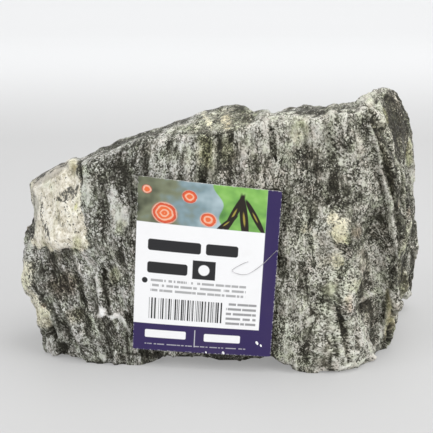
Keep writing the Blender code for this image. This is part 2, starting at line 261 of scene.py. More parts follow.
# Dark paint in these pits is painted shade in the hollows, on top of their real sinking.
spot("bulge pit", 40, 298, 2, 4, 20, dark=0.8, pit=0.5)
spot("foot pit", 51, 333, 4, 6, 25, dark=1, pit=1.2)
spot("low foot pit", 64, 350, 7, 3, 60, dark=0.9, pit=0.35)
spot("white knot", 101, 313, 4, 5, -30, white=1.3, light=0.6, ridge=0.3)
spot("knuckle", 115, 330, 6, 11, ridge=0.9)
spot("light break", 102, 356, 3, 4, light=0.6, white=0.5)
spot("olive by slot", 115, 275, 6, 9, -10, olive=0.6, light=0.35)
spot("olive streak", 121, 226, 4, 9, olive=0.4, light=0.35)
spot("dark mass", 121, 174, 14, 18, -4, dark=0.42)
spot("dark band", 100, 205, 5, 14, -4, dark=0.55)
spot("speckled field", 98, 236, 12, 20, light=0.15)
spot("dark by card", 130, 312, 3, 12, dark=0.7)
spot("tan top", 227, 120, 10, 6, 84, pale=0.5, rust=0.25, light=0.2)
spot("cream top", 207, 119, 11, 4, -66, pale=0.55, olive=0.35)
spot("light ridge", 252, 114, 14, 4, 85, light=0.3)
spot("olive stain", 206, 150, 9, 18, olive=0.9, light=0.1)
spot("olive right", 300, 132, 14, 9, 80, olive=0.5)
spot("brown right", 312, 154, 9, 10, brown=0.25)
spot("olive stain 2", 226, 150, 7, 16, olive=0.5)
spot("bright spot", 264, 130, 5, 6, 10, light=0.8, white=0.25)
spot("light beside it", 264, 150, 8, 12, light=0.3)
spot("light lip", 345, 117, 18, 3, 86, light=0.5)
spot("light top right", 330, 121, 20, 6, 88, light=0.7, olive=0.1)
spot("light field", 318, 136, 14, 10, 80, light=0.35)
spot("light patch", 290, 128, 10, 12, light=0.5)
spot("dark slope", 303, 160, 5, 14, 35, dark=0.35)
spot("dark spot", 345, 140, 6, 11, 8, dark=0.75)
spot("dark over knob", 331, 196, 9, 18, 4, dark=0.75)
spot("dark left of it", 321, 166, 5, 7, dark=0.45)
spot("pinkish light", 359, 146, 5, 13, 6, light=0.5, rust=0.2)
spot("white fleck", 342, 162, 2, 3, white=0.8)
spot("light spot", 360, 208, 5, 5, light=0.85)
spot("dark card streak", 291, 238, 5, 13, dark=0.3)
spot("dark end streak", 374, 180, 5, 24, 8, dark=0.35)
spot("pinkish knob", 333, 219, 8, 6, 80, pale=0.54, light=0.6, rust=0.1, olive=0.25, dark=0.15)
spot("cream knob", 340, 230, 10, 13, -25, pale=0.65, light=0.65, olive=0.4, dark=0.2)
spot("white by knob", 314, 233, 2, 4, white=0.9, light=0.4)
spot("green knob side", 348, 238, 5, 8, light=0.6, olive=0.5)
spot("brown knob side", 358, 232, 5, 7, brown=0.6, rust=0.3)
spot("cream streak", 338, 262, 5, 11, light=0.4, pale=0.35, olive=0.25)
spot("pinkish spot", 306, 228, 5, 6, light=0.5, pale=0.35, rust=0.2)
spot("low light patch", 315, 280, 11, 7, 70, light=0.65)
spot("low green patch", 330, 288, 7, 6, 30, light=0.65, olive=0.45)
spot("green low right", 356, 286, 8, 7, 20, light=0.6, olive=0.45)
spot("low white spot", 310, 321, 5, 4, 60, white=0.8, light=0.4)
spot("low light field", 330, 320, 6, 18, light=0.3)
spot("low pink streak", 348, 305, 3, 9, rust=0.6, light=0.25)
spot("dark speckles", 369, 313, 7, 13, 10, dark=0.7, brown=0.3)
spot("brown patch", 362, 263, 6, 12, dark=0.5, brown=0.4)
spot("low dark field", 328, 354, 4, 14, dark=0.5, brown=0.3)
spot("light corner", 366, 346, 10, 5, -60, light=0.45)
spot("light by card", 284, 354, 10, 6, 60, light=0.4)
spot("cream peak", 367, 97, 13, 4, -66, light=0.6, olive=0.2)
spot("cream lens", 361, 104, 10, 2.5, -80, light=0.6)
spot("slope swell", 72, 161, 9, 4, 70, ridge=1)
spot("peak swell", 366, 99, 11, 6, 62, ridge=1.7)
spot("top right swell", 334, 108, 22, 4.5, 88, ridge=1.8)
spot("top swell", 264, 114, 13, 6, 88, ridge=1.9)
spot("pink end spot", 410, 212, 2, 5, rust=0.8, light=0.3)
spot("olive end field", 404, 284, 6, 18, 12, dark=0.2, olive=0.5, brown=0.2)
spot("end speckles", 399, 232, 6, 22, 4, light=0.15)
spot("end swell", 408, 296, 5, 8, 30, ridge=2)
spot("low end swell", 401, 308, 6, 10, 35, ridge=2.4, dark=0.5, brown=0.2)
spot("corner swell", 371, 352, 14, 9, -40, ridge=0.8)
spot("end hollow", 396, 340, 10, 14, 20, pit=1.6)

# Dark paint in the crack is painted shade in it.
stroke("pale face crack", 0.9, (80, 159), (81, 174), (81, 186), dark=1, pit=0.4)
stroke("cream band", 4, (30, 286), (37, 300), (44, 314), pale=0.58, olive=0.2)
# Painted shade along the underside edge at the cream band's left rim.
stroke("dark band line", 1.2, (27, 291), (33, 303), (38, 315), dark=1)
stroke("light strip", 4, (85, 176), (87, 204), light=0.8)
stroke("speckles", 4.4, (57, 199), (66, 196), (77, 186), speck=1)
stroke("black cluster", 4.4, (64, 199), (69, 195), (76, 188), speck=1, pit=0.2, dark=0.3)
stroke("specks under it", 2.5, (64, 198), (69, 202), speck=1)
stroke("low specks", 2.2, (41, 198), (42, 208), (43, 220), (50, 240), speck=0.5)
stroke("middle specks", 3, (54, 214), (60, 224), (70, 232), speck=0.3)
stroke("bright edge", 1.6, (38, 189), (50, 182), (62, 174), white=0.8, ridge=0.5)
stroke("left rim", 3.4, (32, 188), (35, 204), (33, 220), (30, 238), dark=0.9)
stroke("left streak a", 5, (112, 188), (115, 204), (119, 220), light=1.1)
stroke("left streak b", 5.5, (121, 204), (126, 226), light=0.85)
stroke("low ridge", 1.4, (98, 265), (97, 276), (99, 292), (101, 304), light=0.7, ridge=0.9)
stroke("low ridge head", 1.2, (98, 264), (103, 261), (107, 263), light=0.6, ridge=0.6)
# Dark paint in these slots is painted shade in the recesses; the brown is a stain.
stroke("left slot", 3.4, (104, 270), (105, 286), (109, 306), dark=0.5, brown=0.3, pit=0.9)
stroke("card slot", 3, (118, 250), (120, 264), dark=0.6, pit=0.3)
stroke("card ridge", 2.4, (125, 290), (128, 312), light=0.6, ridge=0.4)
stroke(
    "white branch", 1.5, (106, 315), (112, 318), (117, 315), (122, 319), (130, 332), light=0.8, white=1,
    ridge=0.5,
)
# Dark paint in the grooved folds is painted shade in the grooves.
stroke("grooved fold 1", 2, (66, 262), (76, 282), (88, 312), (92, 340), dark=0.45, pit=0.35)
stroke("grooved fold 2", 2, (48, 300), (60, 322), (70, 340), dark=0.25, pit=0.3)
stroke("light fold", 2, (56, 262), (44, 276), (56, 306), (70, 326), light=0.35, ridge=0.3)
stroke("light fold 2", 2.4, (76, 262), (86, 290), (96, 326), (100, 348), light=0.3, ridge=0.3)
stroke("left top rim", 2.4, (84, 156), (104, 148), (128, 141), dark=0.55)
stroke("top rim", 2.6, (128, 139), (152, 132), (178, 124), (196, 114), dark=0.5)
stroke("middle top rim", 2.2, (208, 110), (228, 104), (246, 106), dark=0.6)
# Painted shade under the plate's edge.
stroke("shade under the plate", 1.3, (160, 135), (190, 132), (216, 133), (242, 131), dark=0.6)
stroke("light streak a", 3.5, (149, 136), (150, 152), (151, 176), light=0.5)
stroke("light streak b", 7, (168, 154), (170, 178), light=0.4)
stroke("light streak c", 3.5, (187, 142), (189, 172), light=0.5, olive=0.2)
# Dark paint in the upper slot is painted shade in the recess.
stroke("upper slot", 3.2, (271, 127), (273, 142), (276, 160), dark=1, pit=0.9)
# Painted shade under the overhanging top edge, with a real shallow pit.
stroke("shade under the top edge", 1.6, (286, 115), (302, 112), (320, 111), (352, 112), dark=0.8, pit=0.3)
stroke("dark top strip", 3, (292, 109), (318, 108), (348, 106), dark=0.65)
stroke("knob streak", 2.6, (314, 228), (316, 244), (319, 268), light=0.85)
stroke("quartz thread", 1.5, (375, 247), (379, 254), (382, 264), light=0.9, ridge=0.3)
stroke(
    "corner sheet", 1.3, (366, 110), (370, 122), (374, 136), (378, 154), (382, 174), (387, 192), (391, 207),
    (394, 228), (396, 246), (397, 260), light=0.6, ridge=1.3,
)
stroke("corner band", 3, (386, 180), (391, 205), (394, 228), (396, 250), light=0.5)
# Dark paint in the grooves on the right end is painted shade in them; the brown and olive are stains.
stroke(
    "corner groove", 3, (368, 107), (373, 114), (377, 126), (382, 144), (387, 164), (391, 184),
    (394, 200), dark=0.72, brown=0.3, olive=0.3, pit=1.1,
)
stroke(
    "second sheet", 2, (377, 97), (380, 107), (383, 117), (387, 130), (391, 146), (396, 162), (401, 175),
    (404, 195), (406, 220), light=0.75, olive=0.15, ridge=1,
)
stroke("olive plate", 2.2, (384, 107), (387, 117), (389, 127), light=0.35, olive=0.9)
# Dark paint here is painted shade in the grooves.
stroke("end grooves", 1.6, (394, 198), (399, 220), (402, 240), dark=0.4, pit=0.5)
stroke("end thread", 1, (398, 212), (399, 220), (399, 228), light=0.7)
stroke("third sheet", 2, (410, 222), (406, 238), (401, 252), (397, 262), light=0.6, olive=0.35, ridge=0.8)
stroke("far sheet", 1.8, (411, 152), (412, 176), (411, 198), light=0.5, ridge=0.6)
stroke("shade groove", 1.4, (391, 106), (395, 120), (398, 136), (402, 154), dark=0.9)
stroke("shade thread", 0.8, (396, 106), (399, 118), (401, 134), (403, 148), light=0.35)
stroke("yellow-green edge", 2.4, (408, 138), (409, 166), light=0.5, olive=0.7)
stroke("end wedge", 2.2, (413, 250), (414, 270), (412, 288), dark=1)
stroke("end streak", 4, (392, 312), (389, 332), dark=0.4, brown=0.4)
stroke("end field", 4, (400, 206), (404, 240), dark=0.25)
# Dark paint here is painted shade in the groove under the sheets.
stroke("sheets groove", 2.6, (394, 268), (390, 286), (384, 304), (382, 324), dark=0.6, pit=0.5)
stroke("tan strip", 3.4, (387, 290), (389, 306), (389, 322), (385, 340), light=0.45, rust=0.35, olive=0.6)
# Dark paint in the low right slots is painted shade in the recesses; the brown is a stain.
stroke("right slot a", 2.6, (337, 308), (342, 324), (346, 342), (348, 360), dark=0.75, brown=0.3, pit=0.7)
stroke("right slot b", 2.4, (333, 332), (336, 346), (337, 358), dark=0.6, pit=0.5)
stroke("tip wedge", 2.4, (331, 352), (331, 374), dark=0.75)
stroke("right slot c", 1.8, (356, 330), (356, 352), dark=0.5, pit=0.4)
stroke("right fold", 2.6, (350, 318), (350, 344), light=0.35, ridge=0.3)
stroke("card shade", 3.4, (126, 353), (160, 357), (200, 359), (240, 360), (272, 359), dark=1)
# Painted shade along the underside edge at the cream band's left rim.
stroke("band rim shade", 1.4, (26, 290), (29, 302), (34, 314), dark=0.9)
# Painted contact shadow along the foot where it meets the floor.
stroke("contact shade under the foot", 1.6, (52, 357), (72, 361), (100, 364), (126, 364), dark=0.8)
stroke("broken rim", 1.6, (274, 356), (290, 363), (310, 369), (328, 372), light=0.6)
stroke("light diagonal", 1.8, (362, 304), (367, 297), (375, 291), light=0.9, ridge=0.6)
stroke("corner thread", 1.1, (380, 322), (379, 334), (377, 346), light=0.7)
stroke("bright rim", 1.5, (336, 371), (346, 364), (358, 363), (370, 355), white=0.9, light=0.5, ridge=0.2)


def smoothstep(low, high, value):
    t = np.clip((value - low) / (high - low), 0.0, 1.0)
    return t * t * (3 - 2 * t)


def add(name, data):
    obj = bpy.data.objects.new(name, data)
    bpy.context.scene.collection.objects.link(obj)
    return obj


def baked(obj):
    """The object with its modifiers applied."""
    graph = bpy.context.evaluated_depsgraph_get()
    mesh = bpy.data.meshes.new_from_object(obj.evaluated_get(graph))
    obj.modifiers.clear()
    obj.data = mesh
    return obj


def vectors(items, key):
    values = np.zeros(len(items) * 3, np.float32)
    items.foreach_get(key, values)
    return values.reshape(-1, 3).astype(float)


def noise_at(points, offset=0.0):
    """Perlin noise at each row of points."""
    return np.array([noise.noise(Vector((x + offset, y - offset, z + offset))) for x, y, z in points])


# --- The photograph's camera.


def picture_place(points):
    """Pixel x, pixel y and distance along the view of drafting-frame points in millimetres."""
    away = points - np.array([0, 0, AIM_HEIGHT])
    depth = CAMERA_DISTANCE + away @ VIEW_AHEAD
    return MIDDLE_PX + FOCAL_PX * away[:, 0] / depth, MIDDLE_PX - FOCAL_PX * (away @ VIEW_UP) / depth, depth


def make_camera(origin):
    data = bpy.data.cameras.new("camera")
    data.sensor_width = SENSOR
    data.lens = FOCAL_PX * SENSOR / FRAME_PX
    data.clip_start = 0.01
    camera = add("camera", data)
    camera.location = origin + (Vector((0, 0, AIM_HEIGHT)) - Vector(VIEW_AHEAD) * CAMERA_DISTANCE) * MM
    camera.rotation_euler = (math.pi / 2 - CAMERA_ELEVATION, 0, 0)
    bpy.context.scene.camera = camera


# --- The stone's shape.


def lean_shift(x, z):
    """How far the layers' lean moves them sideways, as in the CAD source."""
    left = LEAN_LEFT_FOOT * smoothstep(-12, -42, x) * smoothstep(FOLD_TOP, FOLD_TOP - 30, z)
    right = LEAN_RIGHT * smoothstep(30, 58, x)
    return LEAN_MIDDLE * z + left * (z - FOLD_TOP) + right * (z - RIGHT_TOP)


def layer_places(points):
    """Each point in the layers' own directions: across them, along the strike, and up."""
    x, y, z = points.T
    across = x * math.cos(STRIKE) - y * math.sin(STRIKE) + lean_shift(x, z)
    along = x * math.sin(STRIKE) + y * math.cos(STRIKE)
    bend = 1.5 * noise_at(np.column_stack([along / 18, z / 14, np.full_like(z, 3.7)]))
    return np.column_stack([across + bend, along, z])


def mark_masks(points, toward, depth_of):
    """The share of each mask at each point. toward is how squarely a point faces the camera."""
    facing = smoothstep(-0.1, 0.12, toward)
    px, py, depth = picture_place(points)
    sway = noise_at(points / 6.0, 5.0)
    line_x = px + STROKE_EDGE * (sway + 0.6 * noise_at(points / 2.0, 14.0))
    line_y = py
    px = px + MARK_EDGE * (noise_at(points / 2.6, 11.0) + sway)
    py = py + 1.6 * MARK_EDGE * noise_at(points / 3.4, 23.0)
    masks = {name: np.zeros(len(points)) for name in MASKS}

    def paint(centre, share, paints):
        near = smoothstep(MARK_DEPTH + 6, MARK_DEPTH, np.abs(depth - depth_of(*centre))) * facing
        for name, strength in paints.items():
            masks[name] = np.maximum(masks[name], strength * share * near)

    for outline, soft, paints in AREAS.values():
        paint(np.mean(outline, axis=0), smoothstep(soft, -soft, outline_distance(px, py, outline)), paints)
    for x, y, wide, high, lean, paints in SPOTS.values():
        turn = math.radians(lean)
        dx, dy = px - x, py - y
        side = dx * math.cos(turn) - dy * math.sin(turn)
        length = dx * math.sin(turn) + dy * math.cos(turn)
        paint((x, y), smoothstep(1.5, 0.5, np.hypot(side / wide, length / high)), paints)
    for path, wide, paints in STROKES.values():
        away, along = path_distance(line_x, line_y, path)
        full = STROKE_TIP + (1 - STROKE_TIP) * smoothstep(0, 0.25, along) * smoothstep(1, 0.75, along)
        paint(path[len(path) // 2], smoothstep(1.6, 0.4, away / (wide * full)), paints)
    return masks


def add_unseen_patches(layers, hidden, masks):
    """Pale lenses, bands and stains on the sides that the photograph doesn't show."""
    lens = noise_at(layers / (6, 18, 16), 51.0)
    band = noise_at(layers / (5, 30, 36), 61.0)
    stain = noise_at(layers / 15, 71.0)
    shares = {
        "pale": 0.5 * smoothstep(0.3, 0.5, lens),
        "light": 0.6 * smoothstep(0.1, 0.45, band),
        "dark": 0.45 * smoothstep(-0.1, -0.45, band),
        "olive": 0.7 * smoothstep(0.15, 0.45, stain),
        "brown": 0.7 * smoothstep(-0.15, -0.45, stain),
    }
    for name, share in shares.items():
        masks[name] = np.maximum(masks[name], share * hidden)


def segment_distance(px, py, a, b):
    """Distance to the line from a to b, and the share of it before the nearest place."""
    run = np.subtract(b, a)
    t = np.clip(((px - a[0]) * run[0] + (py - a[1]) * run[1]) / (run @ run), 0, 1)
    return np.hypot(px - a[0] - t * run[0], py - a[1] - t * run[1]), t


def path_distance(px, py, path):
    """Distance to a path, and the share of its length before the nearest place."""
    lengths = [math.dist(a, b) for a, b in zip(path, path[1:])]
    away = np.full(len(px), np.inf)
    along = np.zeros(len(px))
    for i, (a, b) in enumerate(zip(path, path[1:])):
        distance, share = segment_distance(px, py, a, b)
        along = np.where(distance < away, (sum(lengths[:i]) + share * lengths[i]) / sum(lengths), along)
        away = np.minimum(away, distance)
    return away, along


def outline_distance(px, py, outline):
    """Distance to a closed outline, negative inside it."""
    inside = np.zeros(len(px), bool)
    away = np.full(len(px), np.inf)
    for a, b in zip(outline, outline[1:] + outline[:1]):
        away = np.minimum(away, segment_distance(px, py, a, b)[0])
        spans = (a[1] > py) != (b[1] > py)
        if a[1] != b[1]:
            inside ^= spans & (px < a[0] + (b[0] - a[0]) * (py - a[1]) / (b[1] - a[1]))
    return np.where(inside, -away, away)


def between_corners(u, v):
    """X and Z of the card at shares u of its width and v of its height."""
    low = np.multiply.outer(1 - u, CARD_BOTTOM_LEFT) + np.multiply.outer(u, CARD_BOTTOM_RIGHT)
    high = np.multiply.outer(1 - u, CARD_TOP_LEFT) + np.multiply.outer(u, CARD_TOP_RIGHT)
    return (low * (1 - v)[..., None] + high * v[..., None]).T


def card_uv(x, z):
    """The shares u and v, from 0 to 1, of the place on the card in front of x and z."""
    u = v = np.full_like(x, 0.5)
    for _ in range(4):
        low, high = (between_corners(u, np.full_like(u, edge))[1] for edge in (0.0, 1.0))
        v = (z - low) / (high - low)
        left, right = (between_corners(np.full_like(u, edge), v)[0] for edge in (0.0, 1.0))
        u = (x - left) / (right - left)
    return u, v


def card_front_y(x, z, u):
    return FRONT_Y + FRONT_Y_PER_X * x + FRONT_Y_PER_Z * z - CARD_BOW * (1 - (2 * u - 1) ** 2)


def terraced(height, step, riser):
    """The height cut into level steps with short risers, as layers break."""
    level = height / step
    rise = level - np.floor(level)
    return step * (np.floor(level) + smoothstep(1 - riser, 1.0, rise))


def small_relief(points, facing, layers, masks):
    """Each point's fine relief in millimetres: laminae, broken steps, chips, splinters, pits."""
    laminae = np.tanh(2.6 * noise_at(layers / (1.9, 12, 15)))
    steps = terraced(2.4 * noise_at(layers / (4.2, 9, 13), 41.0), 0.75, 0.22)
    chips = noise_at(layers / (2.0, 3.2, 3.6), 4.0)
    splinters = 1 - 2 * np.abs(noise_at(layers / (2.6, 6, 8), 8.0))
    grit = noise_at(points / 1.5, 31.0)
    facets = terraced(2.0 * noise_at(points / 8, 3.0), 0.6, 0.3)
    holes = smoothstep(0.34, 0.62, noise_at(layers / (2.2, 3.4, 4.2), 17.0))
    sheets = terraced(3.4 * noise_at(np.roll(layers, -1, axis=1) / (15, 18, 30), 27.0), 1.1, 0.2)
    cleaved = smoothstep(0.55, 0.9, np.abs(facing @ ACROSS)) * smoothstep(0.3, 0.1, -facing @ VIEW_AHEAD)
    rough = (1 - 0.75 * masks["pale"]) * (1 - 0.45 * smoothstep(0.3, 0.8, facing[:, 2]))
    edge_on = smoothstep(0.4, 0.1, np.abs(facing @ VIEW_AHEAD))
    rough *= (1 - 0.4 * np.minimum(masks["ridge"], 1)) * (1 - 0.5 * edge_on)
    broken = 0.75 * steps + 0.4 * chips + 0.55 * (splinters - 0.6) - 0.7 * holes
    relief = rough * (0.28 * laminae + broken + 0.25 * grit)
    relief += masks["pale"] * (0.5 * facets + 0.22 * noise_at(points / 2.4, 13.0))
    relief += cleaved * sheets + 0.15 * masks["light"] + 0.15 * masks["white"] - 0.2 * masks["dark"]
    return relief + 0.8 * masks["ridge"] - 1.5 * masks["pit"]


def make_stone(node, origin):
    stone = add("stone_surface", node.data.copy())
    skin = stone.modifiers.new("fine skin", "REMESH")
    skin.mode = "VOXEL"
    skin.voxel_size = VOXEL * MM
    wear = stone.modifiers.new("worn facets", "SMOOTH")
    wear.factor = 0.5
    wear.iterations = WEAR_PASSES
    baked(stone)
    shift = np.array(origin) / MM
    finer_front(stone.data, shift)
    points = vectors(stone.data.vertices, "co") / MM - shift
    outward = vectors(stone.data.vertex_normals, "vector")
    layers = layer_places(points)
    px, py, depth = picture_place(points)
    toward = -outward @ VIEW_AHEAD
    shown = toward > 0.05

    def depth_of(x, y):
        near = np.hypot(px[shown] - x, py[shown] - y)
        close = near < near.min() + 3.0
        return depth[shown][close].min()

    masks = mark_masks(points, toward, depth_of)
    add_unseen_patches(layers, smoothstep(0.12, -0.1, toward), masks)
    masks["pit"] *= smoothstep(0.02, 0.3, toward)
    relief = small_relief(points, outward, layers, masks)
    rest = smoothstep(0.2, 1.2, points[:, 2])
    moved = points + outward * (relief * rest)[:, None]
    moved[:, 2] = np.maximum(moved[:, 2], 0.0)
    keep_off_card(points, moved)
    # The stored relief becomes painted light and shade in the material.
    store(stone.data, moved, shift, layers, masks, relief - 0.6 * masks["ridge"])
    return stone


def finer_front(mesh, shift):
    """Halves the mesh squares that face the photograph's camera and aren't behind the card."""
    bm = bmesh.new()
    bm.from_mesh(mesh)
    bm.faces.ensure_lookup_table()
    middles = np.array([face.calc_center_median() for face in bm.faces]) / MM - shift
    facing = np.array([face.normal for face in bm.faces]) @ VIEW_AHEAD < -0.02
    x, y, z = middles.T
    u, v = card_uv(x, z)
    hidden = (np.maximum(np.abs(u - 0.5), np.abs(v - 0.5)) < 0.46) & (y < 0)
    edges = {edge for index in np.flatnonzero(facing & ~hidden) for edge in bm.faces[index].edges}
    bmesh.ops.subdivide_edges(bm, edges=list(edges), cuts=1, use_grid_fill=True)
    bm.to_mesh(mesh)
    bm.free()


def keep_off_card(points, moved):
    """Behind the card the surface stays a little off the card's back."""
    x, y, z = moved.T
    u, v = card_uv(x, z)
    outside = np.maximum((np.abs(u - 0.5) - 0.5) * CARD_WIDTH, (np.abs(v - 0.5) - 0.5) * CARD_HEIGHT)
    behind = smoothstep(2.0, 0.8, outside) * (points[:, 1] < 0)
    back = card_front_y(x, z, np.clip(u, 0, 1)) + CARD_THICKNESS + CARD_GAP
    moved[:, 1] = y + behind * np.maximum(0.0, back - y)


def store(mesh, moved, shift, layers, masks, relief):
    mesh.vertices.foreach_set("co", ((moved + shift) * MM).astype(np.float32).ravel())
    mesh.update()
    put_attribute(mesh, "layers", layers)
    put_attribute(mesh, "paint_a", np.column_stack([masks["pale"], masks["dark"], masks["light"]]))
    put_attribute(mesh, "paint_b", np.column_stack([masks["olive"], masks["rust"], masks["brown"]]))
    # The third channel of paint_c, the relief, becomes painted light and shade in the material.
    put_attribute(mesh, "paint_c", np.column_stack([masks["white"], masks["speck"], np.clip(relief, -2, 2)]))
    mesh.shade_smooth()


def put_attribute(mesh, name, values):
    attribute = mesh.attributes.new(name, "FLOAT_VECTOR", "POINT")
    attribute.data.foreach_set("vector", values.astype(np.float32).ravel())


# --- The card and the strand of glue that lies on it.


def card_place(u, v, proud=0.0):
    """Points of the card's front, or that far in front of it, in drafting-frame millimetres."""
    x, z = between_corners(u, v)
    y = card_front_y(x, z, u)
    curl = CARD_CURL * smoothstep(0.75, 1.0, u) * smoothstep(0.35, 0.0, v)
    ripple = 0.05 * np.sin(9 * u + 4 * v) * np.sin(7 * v)
    return np.column_stack([x, y - curl - ripple - proud, z])


def make_card(origin):
    """A thin sheet with rounded corners. Its print attribute holds millimetres from its lower left corner."""
    columns = round(CARD_WIDTH / CARD_STEP)
    rows = round(CARD_HEIGHT / CARD_STEP)
    u, v = (grid.ravel() for grid in np.meshgrid(np.linspace(0, 1, columns + 1), np.linspace(0, 1, rows + 1)))
    across = (u - 0.5) * CARD_WIDTH
    up = (v - 0.5) * CARD_HEIGHT
    over_x = np.maximum(np.abs(across) - CARD_WIDTH / 2 + CARD_CORNER, 0)
    over_y = np.maximum(np.abs(up) - CARD_HEIGHT / 2 + CARD_CORNER, 0)
    pull = np.maximum(np.hypot(over_x, over_y) - CARD_CORNER, 0) / math.sqrt(2)
    u = u - np.sign(across) * pull / CARD_WIDTH
    v = v - np.sign(up) * pull / CARD_HEIGHT
    points = card_place(u, v) * MM + np.array(origin)
    faces = []
    for row in range(rows):
        for column in range(columns):
            first = row * (columns + 1) + column
            faces.append((first, first + 1, first + columns + 2, first + columns + 1))
    mesh = bpy.data.meshes.new("label_sheet")
    mesh.from_pydata(points.tolist(), [], faces)
    put_attribute(mesh, "print", np.column_stack([u * CARD_WIDTH, v * CARD_HEIGHT, np.zeros_like(u)]))
    card = add("label_sheet", mesh)
    body = card.modifiers.new("thickness", "SOLIDIFY")
    body.thickness = CARD_THICKNESS * MM
    body.offset = -1.0
    body.use_rim = True
    body.material_offset = 1
    body.material_offset_rim = 1
    mesh.materials.append(print_material())
    mesh.materials.append(paper_material())
    return baked(card)


def make_strand(origin):
    """A thin dried strand of glue: a tube along a smooth line through the points of STRAND."""
    path = np.array(STRAND) / (CARD_WIDTH, CARD_HEIGHT)
    ends = np.vstack([2 * path[0] - path[1], path, 2 * path[-1] - path[-2]])
    t = np.linspace(0, 1, STRAND_STEPS, endpoint=False)[:, None]
    smooth = []
    for a, b, c, d in zip(ends, ends[1:], ends[2:], ends[3:]):
        smooth.append(b + 0.5 * t * (c - a + t * (2 * a - 5 * b + 4 * c - d + t * (3 * (b - c) + d - a))))
    u, v = np.vstack([*smooth, path[-1]]).T
    middle = card_place(u, v, STRAND_RADIUS + STRAND_GAP)
    run = np.gradient(middle, axis=0)
    run /= np.linalg.norm(run, axis=1)[:, None]
    out = np.array([0.0, -1.0, 0.0])
    side = np.cross(run, out)
    side /= np.linalg.norm(side, axis=1)[:, None]
    lift = np.cross(side, run)
    turns = np.arange(STRAND_SIDES) * math.tau / STRAND_SIDES
    rings = [middle + STRAND_RADIUS * (math.cos(turn) * side + math.sin(turn) * lift) for turn in turns]
    points = np.stack(rings, axis=1).reshape(-1, 3) * MM + np.array(origin)
    count = len(middle)
    faces = [tuple(range(STRAND_SIDES))[::-1], tuple(range((count - 1) * STRAND_SIDES, count * STRAND_SIDES))]
    for ring in range(count - 1):
        for k in range(STRAND_SIDES):
            a, b = ring * STRAND_SIDES + k, ring * STRAND_SIDES + (k + 1) % STRAND_SIDES
            faces.append((a, b, b + STRAND_SIDES, a + STRAND_SIDES))
    mesh = bpy.data.meshes.new("glue_strand")
    mesh.from_pydata(points.tolist(), [], faces)
    mesh.shade_smooth()
    mesh.materials.append(strand_material())
    return add("glue_strand", mesh)


# --- Materials.


class Shading:
    """Short ways to add nodes to a material."""

    def __init__(self, name):
        self.material = bpy.data.materials.new(name)
        self.material.use_nodes = True
        self.tree = self.material.node_tree
        self.shader = self.tree.nodes["Principled BSDF"]

    def set(self, name, value):
        self.put(self.shader.inputs[name], value)

    def put(self, socket, value):
        if hasattr(value, "is_linked"):
            self.tree.links.new(value, socket)
        else:
            socket.default_value = value

    def node(self, kind, inputs):
        """A new node with these values or links at its inputs."""
        node = self.tree.nodes.new("ShaderNode" + kind)
        for key, value in inputs.items():
            self.put(node.inputs[key], value)
        return node

    def math(self, operation, a, b=0.0, c=0.0):
        node = self.node("Math", {0: a, 1: b, 2: c})
        node.operation = operation
        return node.outputs[0]

    def times(self, a, b):
        return self.math("MULTIPLY", a, b)

    def length(self, a, b):
        """The length of the vector with these two parts."""
        return self.math("SQRT", self.math("MULTIPLY_ADD", a, a, self.times(b, b)))

    def sum(self, *terms):
        """The sum of (value, factor) pairs and plain numbers."""
        total = 0.0
        for term in terms:
            if isinstance(term, tuple):
                total = self.math("MULTIPLY_ADD", term[0], term[1], total)
            else:
                total = self.math("ADD", total, term)
        return total

    def step(self, value, low, high):
        """0 below low, 1 above high, smooth between."""
        node = self.node("MapRange", {"Value": value, "From Min": low, "From Max": high})
        node.interpolation_type = "SMOOTHSTEP"
        return node.outputs["Result"]

    def attribute(self, name):
        node = self.node("Attribute", {})
        node.attribute_name = name
        return node.outputs["Vector"]

    def parts(self, vector):
        return self.node("SeparateXYZ", {0: vector}).outputs

    def joined(self, x, y=0.0):
        """The vector with these two parts."""
        return self.node("CombineXYZ", {0: x, 1: y}).outputs[0]

    def scaled(self, vector, sizes, offset=(0, 0, 0)):
        """The vector divided by a size along each axis."""
        scale = [1 / size for size in sizes]
        return self.node("Mapping", {"Vector": vector, "Scale": scale, "Location": offset}).outputs[0]

    def noise(self, vector, detail=2.0, roughness=0.5, distortion=0.0):
        shape = {"Scale": 1.0, "Detail": detail, "Roughness": roughness, "Distortion": distortion}
        return self.node("TexNoise", {"Vector": vector, **shape}).outputs["Fac"]

    def thread(self, vector, wide):
        """A mask of thin broken lines, where a noise crosses its middle."""
        away = self.math("ABSOLUTE", self.sum(self.noise(vector, 3.0, 0.6, 0.6), -0.5))
        broken = self.step(self.noise(vector, 1.0), 0.42, 0.55)
        return self.times(self.step(away, wide, 0.0), broken)

    def cells(self, vector):
        """A random value for each Voronoi cell, a second one, and the distance to its point."""
        node = self.node("TexVoronoi", {"Vector": vector, "Scale": 1.0})
        first, second, _ = self.parts(node.outputs["Color"])
        return first, second, node.outputs["Distance"]

    def ramp(self, value, stops):
        node = self.node("ValToRGB", {"Fac": value})
        elements = node.color_ramp.elements
        while len(elements) < len(stops):
            elements.new(0.5)
        for element, (place, colour) in zip(elements, stops):
            element.position = place
            element.color = (*colour, 1)
        return node.outputs["Color"]

    def mix(self, share, a, b, blend="MIX"):
        node = self.node("Mix", {"Factor": share})
        node.data_type = "RGBA"
        node.blend_type = blend
        for key, value in (("A", a), ("B", b)):
            socket = next(s for s in node.inputs if s.name == key and s.type == "RGBA")
            self.put(socket, value if hasattr(value, "is_linked") else (*value, 1))
        return next(s for s in node.outputs if s.type == "RGBA")

    def bump(self, height, distance, strength):
        node = self.node("Bump", {"Height": height, "Distance": distance, "Strength": strength})
        self.set("Normal", node.outputs[0])


